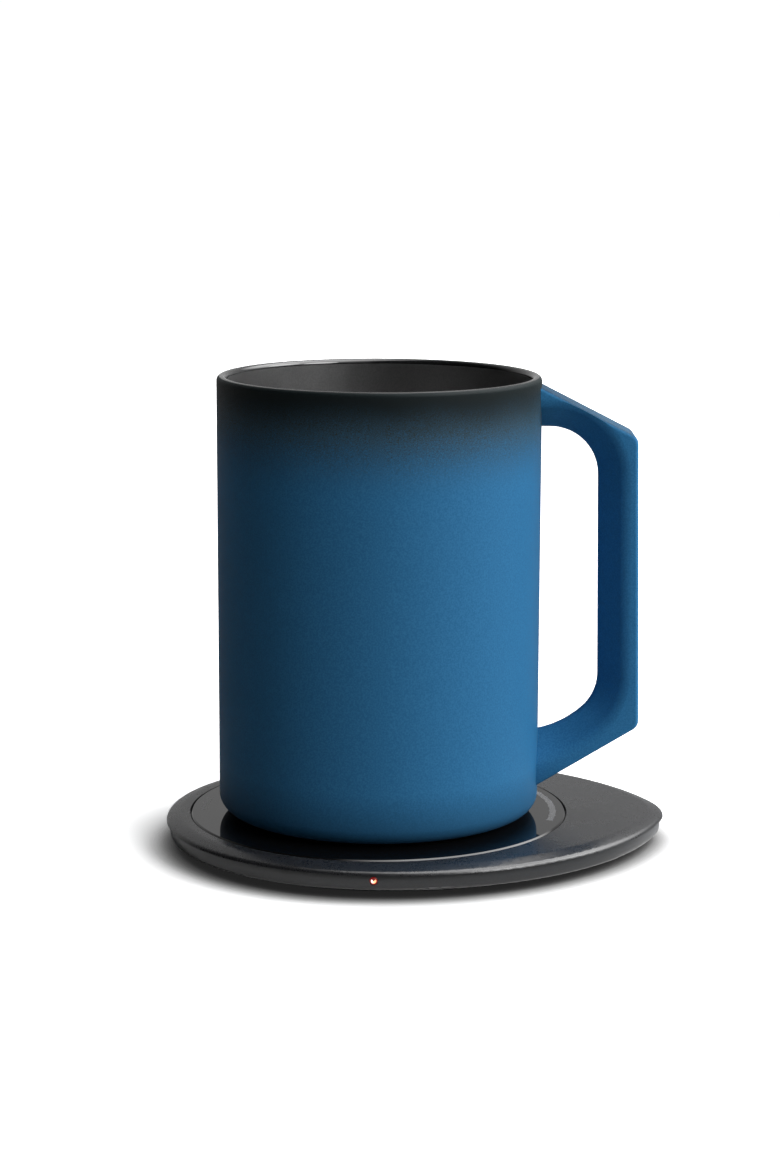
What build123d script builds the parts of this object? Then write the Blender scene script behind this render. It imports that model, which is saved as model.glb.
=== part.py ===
from build123d import *
import math
import os

# A self heating mug: a ceramic mug with a heating disc sealed in its foot, standing on a
# thin induction plate whose outline runs from a round tail to a narrower nose.
# The origin is on the mug's axis, on the surface that the plate stands on. +Z is up,
# +X points to the handle and the nose, and -Y points to the status lamp.
# Lengths are in millimetres and angles in degrees.

# Heights of the base, from the surface that it stands on
base_height = 8.2
lip_height = 6.25
floor_underside = 0.6
floor_wall = 1.0

# Outline of the base: four arcs that touch each other, a tail round the glass, a nose and two sides
tail_radius = 53.4
nose_radius = 22.0
nose_gap = 3.0
nose_y = 3.0
front_swell = 8.65
back_swell = 6.15

# Top cover
cover_drop = 0.2
cover_wall = 1.5
edge_roll = 5.0
edge_roll_rise = 0.04
lip_undercut = 0.3
tongue_wall = 1.0
tongue_depth = 0.85
ledge_wall = 0.7
ledge_width = 6.6
ledge_skirt = 1.2

# Glass plate and the gasket under it
cover_margin = 6.2
glass_wall = 1.2
glass_chamfer = 0.35
glass_groove = 0.3
gasket_wall = 0.2
gasket_margin = 0.4

# Bottom shell
band_inset = 0.8
band_bulge = 0.16
band_wall = 1.2
band_height = 3.0
belly_round = 1.0
belly_inset = 7.2
belly_rise = 1.75
shelf_height = 3.3
shelf_width = 6.0

# Anti slip pad
pad_wall = 0.8
pad_recess = 0.2
pad_edge = 0.3
pad_inset = 8.0

# Screws that hold the case together, and what they go through
screw_angles = (40.0, 140.0, 220.0, 320.0)
screw_nose_reach = 10.5
screw_radius = 0.8
screw_length = 3.4
screw_head_radius = 1.8
screw_head_height = 0.7
screw_slot_depth = 0.35
screw_slot_width = 0.5
screw_boss_radius = 2.1
screw_seat_radius = 2.8
screw_seat_height = 0.8
screw_seat_wall = 0.8

# Main board and the pegs that hold it
board_wall = 1.0
board_gap = 0.3
board_margin = 0.6
peg_ring_inset = 12.9
peg_angles = (60.0, 180.0, 300.0)
peg_radius = 0.8
peg_shoulder_radius = 1.6
peg_rise = 0.4

# Parts on the main board, by width along X, width along Y and height
chip_size = (7.0, 7.0, 0.9)
transistor_size = (4.0, 5.0, 1.0)
capacitor_size = (3.2, 4.4, 2.4)
inductor_size = (9.0, 9.0, 2.9)
inductor_round = 1.2
transistor_pitch = 5.2
transistor_count = 2
capacitor_pitch = 5.4
capacitor_count = 3

# Places of those parts on the board, as shares of the nose radius from the nose's centre
chip_place_share = (0.14, -0.06)
transistor_place_share = (0.2, -0.5)
capacitor_place_share = (-0.25, -0.56)
inductor_place_share = (-0.06, 0.36)

# Coil, its tray and what lies under it
coil_turns = 10
coil_wire_diameter = 1.3
coil_inner_radius = 12.0
coil_margin = 1.9
coil_clearance = 0.2
half_turn_samples = 24
tray_floor = 0.6
tray_wall = 1.2
tray_gap = 0.8
tray_flange = 2.4
tray_flange_wall = 0.5
tray_hub_radius = 4.5
terminal_width = 1.6
bar_count = 8
bar_width = 5.0
bar_wall = 0.8
bar_inner_radius = 14.0
bar_margin = 3.1
bar_phase_share = 0.5
shield_wall = 0.3
shield_margin = 0.8

# Temperature sensor under the middle of the glass
sensor_radius = 2.5
sensor_height = 0.5
sensor_pad_radius = 3.5
sensor_pad_height = 0.4

# Power socket in the back of the band
socket_width = 8.94
socket_height = 3.16
socket_depth = 10.0
socket_wall = 0.3
socket_set_back = 0.2
socket_back_wall = 0.4
tongue_width = 6.69
tongue_height = 0.7
tongue_set_back = 0.6

# Status lamp in the front of the band
lamp_x = -0.85
lamp_drop = 1.45
lens_radius = 0.95
lens_flange_radius = 1.2
lens_flange_wall = 0.6
lens_set_back = 0.1
lens_dome = 0.3
lamp_width = 2.6
lamp_depth = 1.8
lamp_height = 2.9

# Mug
mug_radius = 40.0
mug_height = 109.0
mug_standoff = 1.0
rim_wall = 2.5
side_wall = 3.4
mug_floor = 4.0
mug_foot_round = 4.2
bowl_round = 10.0

# Heating pack in the mug's foot
foot_land = 7.0
heater_wall = 1.6
insulation_wall = 1.1
foot_cover_wall = 1.4
foot_cover_recess = 0.3

# Foot ring that the mug stands on
foot_ring_inset = 2.0
foot_ring_width = 4.0
foot_ring_groove = 0.6
foot_ring_edge = 0.3

# Handle, counted out from the mug's side, down from its rim and up from its foot
handle_width = 14.5
finger_gap_top = 14.1
finger_gap_bottom = 14.75
grip_wall_top = 9.3
grip_wall_bottom = 10.0
upper_arm_drop = 2.6
upper_arm_slope = 27.1
lower_arm_rise = 7.1
lower_arm_slope = 31.0
upper_bend_radius = 12.0
upper_bend_drop = 24.6
lower_bend_radius = 11.5
lower_bend_rise = 34.2
lower_arm_radius = 24.0
lower_bend_turn = 48.0
handle_root = 2.5
outer_corner = 2.8
outer_edge = 0.9
flank_angle = 45.0
nose_edge_radius = 2.3
shoulder_radius = 4.6
flank_overrise = 0.02

# Clearances and overruns
running_fit = 0.05
seat_fit = 0.1
assembly_fit = 0.3
overrun = 1.0
cutter_reach = 3.0

# Places round the axis that follow from the sizes above
glass_radius = tail_radius - cover_margin
nose_x = glass_radius + nose_gap
ledge_outer = glass_radius + glass_groove + ledge_skirt
ledge_inner = glass_radius + glass_groove - ledge_width
screw_ring_radius = ledge_inner + screw_boss_radius
peg_ring_radius = ledge_inner - peg_ring_inset
tray_radius = ledge_inner - tray_gap
bar_outer_radius = tray_radius - bar_margin
coil_outer_radius = tray_radius - tray_wall - coil_margin
coil_pitch = (coil_outer_radius - coil_inner_radius) / coil_turns
cavity_inset = band_inset + band_wall
deep_inset = cavity_inset + shelf_width
pocket_radius = mug_radius - foot_land
foot_ring_outer = pocket_radius - foot_ring_inset
foot_ring_inner = foot_ring_outer - foot_ring_width
grip_inner_top = mug_radius + finger_gap_top
grip_inner_bottom = mug_radius + finger_gap_bottom
grip_outer_top = grip_inner_top + grip_wall_top
grip_outer_bottom = grip_inner_bottom + grip_wall_bottom

# Heights that follow from the sizes above
cover_top = base_height - cover_drop
cover_underside = cover_top - cover_wall
glass_underside = base_height - glass_wall
ledge_top = glass_underside - gasket_wall
ledge_underside = ledge_top - ledge_wall
floor_top = floor_underside + floor_wall
tongue_bottom = lip_height - tongue_depth
screw_seat_top = floor_top + screw_seat_height
board_underside = floor_top + board_gap
board_top = board_underside + board_wall
tray_top = ledge_underside
tray_floor_top = glass_underside - coil_clearance - coil_wire_diameter
tray_underside = tray_floor_top - tray_floor
bar_underside = tray_underside - bar_wall
shield_underside = bar_underside - shield_wall
socket_middle = board_top + socket_height / 2
lamp_middle = lip_height - lamp_drop
mug_foot = base_height + mug_standoff
mug_rim = mug_foot + mug_height
foot_cover_bottom = mug_foot + foot_cover_recess
foot_cover_top = foot_cover_bottom + foot_cover_wall
insulation_top = foot_cover_top + insulation_wall
pocket_top = insulation_top + heater_wall
bowl_floor = pocket_top + mug_floor


def bearing(start, end):
    # Angle from one point to another
    return math.degrees(math.atan2(end[1] - start[1], end[0] - start[0]))


def polar(radius, angle):
    # Point at a distance and an angle from the mug's axis
    return radius * math.cos(math.radians(angle)), radius * math.sin(math.radians(angle))


def side_radius(swell):
    # Radius of a side arc: the swell, and the least radius that can touch the tail and the nose
    return (math.hypot(nose_x, nose_y) + tail_radius + nose_radius) / 2 + swell


def side_centre(radius, side):
    # Centre of a side arc that touches the tail and the nose, with side 1 for the front
    span = math.hypot(nose_x, nose_y)
    from_tail = radius - tail_radius
    from_nose = radius - nose_radius
    along = (from_tail**2 - from_nose**2 + span**2) / (2 * span)
    across = side * math.sqrt(from_tail**2 - along**2)
    centre_x = (nose_x * along - nose_y * across) / span
    centre_y = (nose_y * along + nose_x * across) / span
    return centre_x, centre_y


tail_centre = (0, 0)
nose_centre = (nose_x, nose_y)
front_radius = side_radius(front_swell)
back_radius = side_radius(back_swell)
front_centre = side_centre(front_radius, 1)
back_centre = side_centre(back_radius, -1)


def outline(inset):
    # Closed wire of the base's outline, moved in by the inset, from the tail and on by the front
    front_start = bearing(front_centre, tail_centre) % 360
    front_end = bearing(front_centre, nose_centre) % 360
    back_start = bearing(back_centre, nose_centre)
    back_end = bearing(back_centre, tail_centre)
    arcs = [
        (tail_centre, tail_radius, 180, front_start),
        (front_centre, front_radius, front_start, front_end),
        (nose_centre, nose_radius, front_end - 360, back_start),
        (back_centre, back_radius, back_start, back_end),
        (tail_centre, tail_radius, back_end, 180),
    ]
    edges = []
    for centre, radius, start, end in arcs:
        edges.append(CenterArc(centre, radius - inset, start, end - start))
    return Wire(edges)


def slab(inset, bottom, top):
    # Plate with the base's outline
    return extrude(Pos(0, 0, bottom) * Face(outline(inset)), top - bottom)


def disc(radius, bottom, top, place=(0, 0)):
    return Pos(place[0], place[1], (bottom + top) / 2) * Cylinder(radius, top - bottom)


def ring(outer, inner, bottom, top):
    return disc(outer, bottom, top) - disc(inner, bottom, top)


def block(x_span, y_span, z_span):
    # Box between two values on each axis
    middle = [(low + high) / 2 for low, high in (x_span, y_span, z_span)]
    size = [high - low for low, high in (x_span, y_span, z_span)]
    return Pos(*middle) * Box(*size)


def section_point(inset, height):
    # Point of a section of the base's edge, drawn at the tip of the tail
    return Vector(inset - tail_radius, 0, height)


def swept_edge(edges):
    # Solid that a closed section makes when it follows the base's outline
    return sweep(Face(Wire(edges)), path=outline(0))


def arc_about(centre, start, end):
    # Arc of less than half a turn about a centre
    out = (start + end) / 2 - centre
    middle = centre + out.normalized() * (start - centre).length
    return ThreePointArc(start, middle, end)


def chain(points):
    # Straight edges from point to point
    return [Line(start, end) for start, end in zip(points[:-1], points[1:])]


def screw_places():
    places = [polar(screw_ring_radius, angle) for angle in screw_angles]
    places.append((nose_x + screw_nose_reach, nose_y))
    return places


def band_y(x, centre, radius, side):
    # Place along Y of the band's outer face at a given X, on a side arc or on the arc beyond its end
    if x < polar(tail_radius, bearing(centre, tail_centre))[0]:
        centre, radius = tail_centre, tail_radius
    elif x > nose_x + polar(nose_radius, bearing(centre, nose_centre))[0]:
        centre, radius = nose_centre, nose_radius
    return centre[1] + side * math.sqrt((radius - band_inset)**2 - (x - centre[0])**2)


lamp_face = band_y(lamp_x, front_centre, front_radius, -1)
socket_x = max(back_centre[0], tail_centre[0])
socket_face = band_y(socket_x, back_centre, back_radius, 1)
socket_mouth = socket_face - socket_set_back
socket_tail = socket_mouth - socket_depth


def oblong(width, height, start, end):
    # Bar with round ends, along Y, at the power socket
    profile = SlotOverall(width, height)
    placed = Plane(origin=(socket_x, start, socket_middle), x_dir=(-1, 0, 0), z_dir=(0, 1, 0))
    return extrude(placed * profile, end - start)


def lamp_rod(radius, start, end):
    # Round bar along Y at the status lamp
    middle = (start + end) / 2
    return Pos(lamp_x, middle, lamp_middle) * Rot(90, 0, 0) * Cylinder(radius, abs(end - start))


def top_cover():
    body = slab(-overrun, lip_height, cover_top)
    crest = cover_top + edge_roll_rise
    roll_centre = lip_height - lip_undercut
    rise = crest - roll_centre
    corner = section_point(edge_roll, crest)
    bottom_share = math.sqrt(0.5)
    middle = section_point(edge_roll * (1 - bottom_share), roll_centre + rise * bottom_share)
    start = section_point(0, roll_centre)
    roll = Spline(start, middle, corner, tangents=(Vector(0, 0, 1), Vector(1, 0, 0)))
    outside = chain([
        corner,
        section_point(edge_roll, crest + overrun),
        section_point(-cutter_reach, crest + overrun),
        section_point(-cutter_reach, roll_centre),
        start,
    ])
    body -= swept_edge([roll] + outside)
    tongue = slab(cavity_inset + seat_fit, tongue_bottom, cover_underside)
    body += tongue
    body -= slab(cavity_inset + seat_fit + tongue_wall, tongue_bottom - overrun, cover_underside)
    body += ring(ledge_outer, ledge_inner, ledge_underside, cover_top)
    body -= disc(glass_radius + glass_groove, ledge_top, cover_top + overrun)
    body -= disc(ledge_inner, tongue_bottom - overrun, cover_top)
    for place in screw_places():
        body += disc(screw_boss_radius, screw_seat_top, (ledge_underside + ledge_top) / 2, place)
    body += disc(screw_boss_radius, screw_seat_top, cover_top - cover_wall / 2, screw_places()[-1])
    for place in screw_places():
        body -= disc(screw_radius, screw_seat_top - overrun, floor_top + screw_length + seat_fit, place)
    body -= oblong(socket_width + 2 * seat_fit, socket_height + 2 * seat_fit, socket_tail, socket_face)
    body -= lamp_rod(lens_flange_radius + seat_fit, lamp_face, lamp_face + shelf_width)
    return body


def bottom_shell():
    body = slab(0, floor_underside, lip_height)
    band_bottom = lip_height - band_height
    top = section_point(band_inset + band_bulge, lip_height)
    bulge = section_point(band_inset, (lip_height + band_bottom) / 2)
    low = section_point(band_inset + band_bulge, band_bottom)
    band = ThreePointArc(top, bulge, low)
    turn = section_point(band_inset + band_bulge + belly_round, floor_underside + belly_rise)
    corner = TangentArc(low, turn, tangent=band % 1)
    foot = section_point(belly_inset, floor_underside)
    outside = chain([
        turn,
        foot,
        section_point(belly_inset, floor_underside - overrun),
        section_point(-overrun, floor_underside - overrun),
        section_point(-overrun, lip_height + overrun),
        section_point(band_inset + band_bulge, lip_height + overrun),
        top,
    ])
    body -= swept_edge([band, corner] + outside)
    body -= slab(cavity_inset, shelf_height, lip_height + overrun)
    body -= slab(deep_inset, floor_top, shelf_height)
    body -= slab(pad_inset - seat_fit, floor_underside - overrun, floor_underside + pad_recess)
    for angle in peg_angles:
        body += disc(peg_shoulder_radius, floor_top, board_underside, polar(peg_ring_radius, angle))
        body += disc(peg_radius, floor_top, board_top + peg_rise, polar(peg_ring_radius, angle))
    for place in screw_places():
        body += disc(screw_seat_radius, floor_top, screw_seat_top, place)
        body -= disc(screw_head_radius + seat_fit, 0, screw_seat_top - screw_seat_wall, place)
        body -= disc(screw_radius + seat_fit, 0, screw_seat_top + overrun, place)
    half = socket_width / 2 + seat_fit
    body -= block(
        (socket_x - half, socket_x + half),
        (socket_tail, socket_face - band_wall),
        (board_top, lip_height),
    )
    body -= oblong(socket_width + seat_fit, socket_height + seat_fit, socket_tail, socket_face + overrun)
    body -= lamp_rod(lens_radius + running_fit, lamp_face - overrun, lamp_face + shelf_width)
    return body


def anti_slip_pad():
    pad = slab(pad_inset, 0, pad_wall)
    return fillet(pad.edges().group_by(Axis.Z)[0], pad_edge)


def glass_plate():
    plate = disc(glass_radius, glass_underside, base_height)
    return chamfer(plate.edges().group_by(Axis.Z)[-1], glass_chamfer)


def glass_gasket():
    return ring(glass_radius - gasket_margin, ledge_inner + gasket_margin, ledge_top, glass_underside)


def case_screws():
    head_bottom = screw_seat_top - screw_seat_wall - screw_head_height
    head_top = head_bottom + screw_head_height
    screws = []
    for place in screw_places():
        screw = disc(screw_head_radius, head_bottom, head_top, place)
        screw += disc(screw_radius, head_top - seat_fit, floor_top + screw_length, place)
        for across, along in ((screw_head_radius, screw_slot_width), (screw_slot_width, screw_head_radius)):
            screw -= block(
                (place[0] - across / 2, place[0] + across / 2),
                (place[1] - along / 2, place[1] + along / 2),
                (head_bottom, head_bottom + screw_slot_depth),
            )
        screws.append(screw)
    return Compound(children=screws)


def main_board():
    board = slab(deep_inset + board_margin, board_underside, board_top)
    for place in screw_places():
        board -= disc(screw_seat_radius + assembly_fit, board_underside, board_top, place)
    for angle in peg_angles:
        board -= disc(peg_radius + seat_fit, board_underside, board_top, polar(peg_ring_radius, angle))
    return board


def on_board(size, place_share, x_shift=0, y_shift=0):
    # Block that stands on the main board, placed from the centre of the nose
    x = nose_x + place_share[0] * nose_radius + x_shift
    y = nose_y + place_share[1] * nose_radius + y_shift
    return block(
        (x - size[0] / 2, x + size[0] / 2),
        (y - size[1] / 2, y + size[1] / 2),
        (board_top, board_top + size[2]),
    )


def control_chip():
    return on_board(chip_size, chip_place_share)


def power_transistors():
    parts = [
        on_board(transistor_size, transistor_place_share, x_shift=-index * transistor_pitch)
        for index in range(transistor_count)
    ]
    return Compound(children=parts)


def resonance_capacitors():
    parts = [
        on_board(capacitor_size, capacitor_place_share, y_shift=-index * capacitor_pitch)
        for index in range(capacitor_count)
    ]
    return Compound(children=parts)


def power_inductor():
    body = on_board(inductor_size, inductor_place_share)
    return fillet(body.edges().filter_by(Axis.Z), inductor_round)


def coil_path():
    # Spiral of half turns about two centres half a pitch apart, with a straight run at each end
    middle_height = tray_floor_top + coil_wire_diameter / 2
    edges = []
    start = Vector(coil_inner_radius, 0, middle_height)
    edges.append(Line(start - Vector(0, coil_wire_diameter, 0), start))
    for half in range(2 * coil_turns):
        radius = coil_inner_radius + half * coil_pitch / 2
        centre_x = (half % 2) * coil_pitch / 2
        first_angle = (half % 2) * 180
        plane = Plane(origin=(centre_x, 0, middle_height))
        edges.append(plane * CenterArc((0, 0), radius, first_angle, 180))
    end = edges[-1] @ 1
    edges.append(Line(end, end + Vector(0, coil_wire_diameter, 0)))
    return edges


def coil_gap(edges):
    # Least gap between turns, from points a step apart, each held against those over half a turn on
    points = []
    for edge in edges[1:-1]:
        points += [edge @ (step / half_turn_samples) for step in range(half_turn_samples)]
    least = coil_outer_radius
    for index, point in enumerate(points):
        for other in points[index + half_turn_samples * 3 // 2:]:
            least = min(least, (other - point).length)
    return least - coil_wire_diameter


def coil_wire():
    edges = coil_path()
    print("coil: least gap between turns", round(coil_gap(edges), 3))
    path = Wire(edges)
    profile = Plane(origin=path @ 0, z_dir=path % 0) * Circle(coil_wire_diameter / 2)
    return sweep(profile, path=path)


def terminal_places():
    # Middle of each terminal post, which the wire's end face meets
    edges = coil_path()
    first = edges[0] @ 0
    last = edges[-1] @ 1
    return [(first.X, first.Y - terminal_width / 2), (last.X, last.Y + terminal_width / 2)]


def terminal_post(x, y, margin, bottom, top):
    half = terminal_width / 2 + margin
    return block((x - half, x + half), (y - half, y + half), (bottom, top))


def coil_terminals():
    top = tray_floor_top + coil_wire_diameter
    return Compound(children=[terminal_post(x, y, 0, board_top, top) for x, y in terminal_places()])


def coil_tray():
    tray = disc(tray_radius, tray_underside, tray_top)
    tray += ring(tray_radius + tray_flange, tray_radius - tray_wall, tray_top - tray_flange_wall, tray_top)
    tray -= disc(tray_radius - tray_wall, tray_floor_top, tray_top + overrun)
    hub_top = glass_underside - sensor_pad_height - sensor_height
    tray += disc(tray_hub_radius, tray_underside, hub_top)
    for place in screw_places():
        tray -= disc(screw_boss_radius + seat_fit, tray_underside, tray_top, place)
    for x, y in terminal_places():
        tray -= terminal_post(x, y, seat_fit, tray_underside, tray_floor_top)
    return tray


def ferrite_bars():
    bars = []
    for index in range(bar_count):
        angle = (index + bar_phase_share) * 360 / bar_count
        bar = block(
            (bar_inner_radius, bar_outer_radius),
            (-bar_width / 2, bar_width / 2),
            (bar_underside, tray_underside),
        )
        bars.append(Rot(0, 0, angle) * bar)
    return Compound(children=bars)


def shield_plate():
    plate = disc(tray_radius - shield_margin, shield_underside, bar_underside)
    for x, y in terminal_places():
        plate -= terminal_post(x, y, assembly_fit, shield_underside, bar_underside)
    return plate


def thermal_sensor():
    top = glass_underside - sensor_pad_height
    return disc(sensor_radius, top - sensor_height, top)


def sensor_pad():
    return disc(sensor_pad_radius, glass_underside - sensor_pad_height, glass_underside)


def usb_socket_shell():
    body = oblong(socket_width, socket_height, socket_tail, socket_mouth)
    inner_width = socket_width - 2 * socket_wall
    inner_height = socket_height - 2 * socket_wall
    return body - oblong(inner_width, inner_height, socket_tail + socket_back_wall, socket_mouth + overrun)


def usb_socket_tongue():
    return block(
        (socket_x - tongue_width / 2, socket_x + tongue_width / 2),
        (socket_tail + socket_back_wall, socket_mouth - tongue_set_back),
        (socket_middle - tongue_height / 2, socket_middle + tongue_height / 2),
    )


def led_lens():
    outer = lamp_face + lens_set_back
    inner = lamp_face + lens_set_back + lens_reach()
    lens = lamp_rod(lens_radius, outer, inner)
    lens = fillet(lens.edges().group_by(Axis.Y)[0], lens_dome)
    seat = lamp_face + band_wall + seat_fit
    return lens + lamp_rod(lens_flange_radius, seat, seat + lens_flange_wall)


def lens_reach():
    # Length of the lens, from the band to the lamp on the edge of the main board
    return deep_inset + board_margin + seat_fit - band_inset - lens_set_back


def status_led():
    face = lamp_face + lens_set_back + lens_reach()
    return block(
        (lamp_x - lamp_width / 2, lamp_x + lamp_width / 2),
        (face, face + lamp_depth),
        (board_top, board_top + lamp_height),
    )


def mug_shell():
    # Half section, turned about the axis: outside up, round the rim and down into the bowl
    rim_round = rim_wall / 2
    inner_top = Vector(mug_radius - rim_wall, 0, mug_rim - rim_round)
    bowl_radius = mug_radius - side_wall
    outer_low = Vector(mug_radius, 0, mug_foot + mug_foot_round)
    outer_top = Vector(mug_radius, 0, mug_rim - rim_round)
    foot_edge = Vector(mug_radius - mug_foot_round, 0, mug_foot)
    bowl_side = Vector(bowl_radius, 0, bowl_floor + bowl_round)
    bowl_edge = Vector(bowl_radius - bowl_round, 0, bowl_floor)
    edges = [
        Line((pocket_radius, 0, mug_foot), foot_edge),
        arc_about(Vector(foot_edge.X, 0, outer_low.Z), foot_edge, outer_low),
        Line(outer_low, outer_top),
        ThreePointArc(outer_top, (mug_radius - rim_round, 0, mug_rim), inner_top),
        Line(inner_top, bowl_side),
        arc_about(Vector(bowl_edge.X, 0, bowl_side.Z), bowl_side, bowl_edge),
    ]
    edges += chain([
        bowl_edge,
        Vector(0, 0, bowl_floor),
        Vector(0, 0, pocket_top),
        Vector(pocket_radius, 0, pocket_top),
        Vector(pocket_radius, 0, mug_foot),
    ])
    return revolve(Face(Wire(edges)), Axis.Z)


def grip_line():
    # Centres of the two bends and the ends of the straight inner side of the grip between them
    upper = Vector(grip_inner_top - upper_bend_radius, 0, mug_rim - upper_bend_drop)
    lower = Vector(grip_inner_bottom - lower_bend_radius, 0, mug_foot + lower_bend_rise)
    up = (upper - lower).normalized()
    out = Vector(up.Z, 0, -up.X)
    lean = math.asin((lower_bend_radius - upper_bend_radius) / (upper - lower).length)
    normal = out * math.cos(lean) + up * math.sin(lean)
    return upper, lower, upper + normal * upper_bend_radius, lower + normal * lower_bend_radius


def finger_gap_path():
    # Inner side of the handle, from the lower root out, up the grip and back to the upper root
    root_x = mug_radius - handle_root
    upper, lower, inner_top, inner_bottom = grip_line()
    turn = math.radians(lower_bend_turn)
    outward = Vector(math.cos(turn), 0, -math.sin(turn))
    meet = lower + outward * lower_bend_radius
    arm_centre = meet - outward * lower_arm_radius
    root_z = arm_centre.Z - math.sqrt(lower_arm_radius**2 - (root_x - arm_centre.X)**2)
    upper_end = upper + Vector(0, 0, upper_bend_radius)
    return [
        arc_about(arm_centre, Vector(root_x, 0, root_z), meet),
        arc_about(lower, meet, inner_bottom),
        Line(inner_bottom, inner_top),
        arc_about(upper, inner_top, upper_end),
        Line(upper_end, Vector(root_x, 0, upper_end.Z)),
    ]


def handle_plate():
    # Outer shape of the handle as a plate across Y, with its outer edges softened
    root_x = mug_radius - handle_root
    upper_fall = math.tan(math.radians(upper_arm_slope))
    lower_rise = math.tan(math.radians(lower_arm_slope))
    upper_z = mug_rim - upper_arm_drop
    lower_z = mug_foot + lower_arm_rise
    corners = [
        Vector(root_x, 0, upper_z - (root_x - mug_radius) * upper_fall),
        Vector(grip_outer_top, 0, upper_z - (grip_outer_top - mug_radius) * upper_fall),
        Vector(grip_outer_bottom, 0, lower_z + (grip_outer_bottom - mug_radius) * lower_rise),
        Vector(root_x, 0, lower_z + (root_x - mug_radius) * lower_rise),
    ]
    plate = extrude(Face(Wire(chain(corners + corners[:1]))), handle_width / 2, both=True)
    plate = fillet(plate.edges().filter_by(Axis.Y).sort_by(Axis.X)[-2:], outer_corner)
    sides = plate.faces().sort_by(Axis.Y)
    return fillet(sides[0].edges() + sides[-1].edges(), outer_edge)


def flank_cutter(path):
    # What the inner side of the handle loses: all outside a nose, two flanks and their shoulders
    start = path[0] @ 0
    along = path[0] % 0
    inward = Vector(along.Z, 0, -along.X)
    half = handle_width / 2 + flank_overrise
    slope = math.radians(flank_angle)
    flank_height = half - shoulder_radius * (1 - math.cos(slope)) - nose_edge_radius * math.cos(slope)
    nose_s = nose_edge_radius * (1 - math.sin(slope))
    shoulder_s = nose_s + flank_height / math.tan(slope) + shoulder_radius * math.sin(slope)

    def place(depth, across):
        return start + inward * (depth - flank_overrise) + Vector(0, across, 0)

    edges = []
    for side in (1, -1):
        crest = place(shoulder_s, side * half)
        shoulder_across = half - shoulder_radius * (1 - math.cos(slope))
        shoulder = place(shoulder_s - shoulder_radius * math.sin(slope), side * shoulder_across)
        nose = place(nose_s, side * nose_edge_radius * math.cos(slope))
        apex = place(0, 0)
        edges.append(arc_about(place(shoulder_s, side * (half - shoulder_radius)), crest, shoulder))
        edges.append(Line(shoulder, nose))
        edges.append(arc_about(place(nose_edge_radius, 0), nose, apex))
    edges += chain([
        place(shoulder_s, half),
        place(shoulder_s, half + overrun),
        place(-overrun, half + overrun),
        place(-overrun, -half - overrun),
        place(shoulder_s, -half - overrun),
        place(shoulder_s, -half),
    ])
    return sweep(Face(Wire(edges)), path=Wire(path))


def mug_handle():
    path = finger_gap_path()
    gap = Face(Wire(path + [Line(path[-1] @ 1, path[0] @ 0)]))
    handle = handle_plate() - extrude(gap, handle_width, both=True)
    handle -= flank_cutter(path)
    return handle - disc(mug_radius, 0, mug_rim)


def heating_disc():
    return disc(pocket_radius - seat_fit, insulation_top, pocket_top)


def insulation_disc():
    return disc(pocket_radius - seat_fit, foot_cover_top, insulation_top)


def mug_foot_cover():
    cover = disc(pocket_radius, foot_cover_bottom, foot_cover_top)
    groove_outer = foot_ring_outer + running_fit
    groove_inner = foot_ring_inner - running_fit
    groove_top = foot_cover_bottom + foot_ring_groove
    return cover - ring(groove_outer, groove_inner, foot_cover_bottom - overrun, groove_top)


def foot_ring():
    body = ring(foot_ring_outer, foot_ring_inner, base_height, foot_cover_bottom + foot_ring_groove)
    return fillet(body.edges().group_by(Axis.Z)[0], foot_ring_edge)


nodes = {
    "top_cover": top_cover,
    "glass_plate": glass_plate,
    "glass_gasket": glass_gasket,
    "bottom_shell": bottom_shell,
    "anti_slip_pad": anti_slip_pad,
    "case_screws": case_screws,
    "main_board": main_board,
    "control_chip": control_chip,
    "power_transistors": power_transistors,
    "resonance_capacitors": resonance_capacitors,
    "power_inductor": power_inductor,
    "coil_wire": coil_wire,
    "coil_terminals": coil_terminals,
    "coil_tray": coil_tray,
    "ferrite_bars": ferrite_bars,
    "shield_plate": shield_plate,
    "thermal_sensor": thermal_sensor,
    "sensor_pad": sensor_pad,
    "usb_socket_shell": usb_socket_shell,
    "usb_socket_tongue": usb_socket_tongue,
    "status_led": status_led,
    "led_lens": led_lens,
    "foot_ring": foot_ring,
    "mug_shell": mug_shell,
    "mug_handle": mug_handle,
    "heating_disc": heating_disc,
    "insulation_disc": insulation_disc,
    "mug_foot_cover": mug_foot_cover,
}

os.makedirs("parts", exist_ok=True)
for name, make in nodes.items():
    export_step(make(), f"parts/{name}.step")
    print("wrote", name)
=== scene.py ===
import math

import bmesh
import bpy
from mathutils import Matrix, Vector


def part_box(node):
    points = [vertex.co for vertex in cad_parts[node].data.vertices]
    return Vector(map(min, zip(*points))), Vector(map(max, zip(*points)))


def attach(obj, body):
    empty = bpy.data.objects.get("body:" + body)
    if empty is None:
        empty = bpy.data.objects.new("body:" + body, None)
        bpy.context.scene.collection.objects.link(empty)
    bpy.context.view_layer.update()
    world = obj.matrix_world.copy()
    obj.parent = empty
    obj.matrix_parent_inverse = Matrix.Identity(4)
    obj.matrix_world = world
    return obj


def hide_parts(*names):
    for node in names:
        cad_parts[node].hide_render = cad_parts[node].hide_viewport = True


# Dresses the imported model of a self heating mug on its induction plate.
# Everything is in metres. The mug's axis is the Z axis, the handle points along +X
# and the status lamp faces -Y.
mm = 0.001

scene = bpy.context.scene
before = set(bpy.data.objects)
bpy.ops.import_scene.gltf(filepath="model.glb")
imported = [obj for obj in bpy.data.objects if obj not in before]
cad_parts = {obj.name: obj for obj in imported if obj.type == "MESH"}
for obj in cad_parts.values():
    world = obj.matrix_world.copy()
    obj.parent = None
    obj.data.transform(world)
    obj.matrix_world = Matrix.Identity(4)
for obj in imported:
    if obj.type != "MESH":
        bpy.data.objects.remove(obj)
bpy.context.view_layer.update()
print("frame loaded with", len(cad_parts), "nodes")


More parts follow.
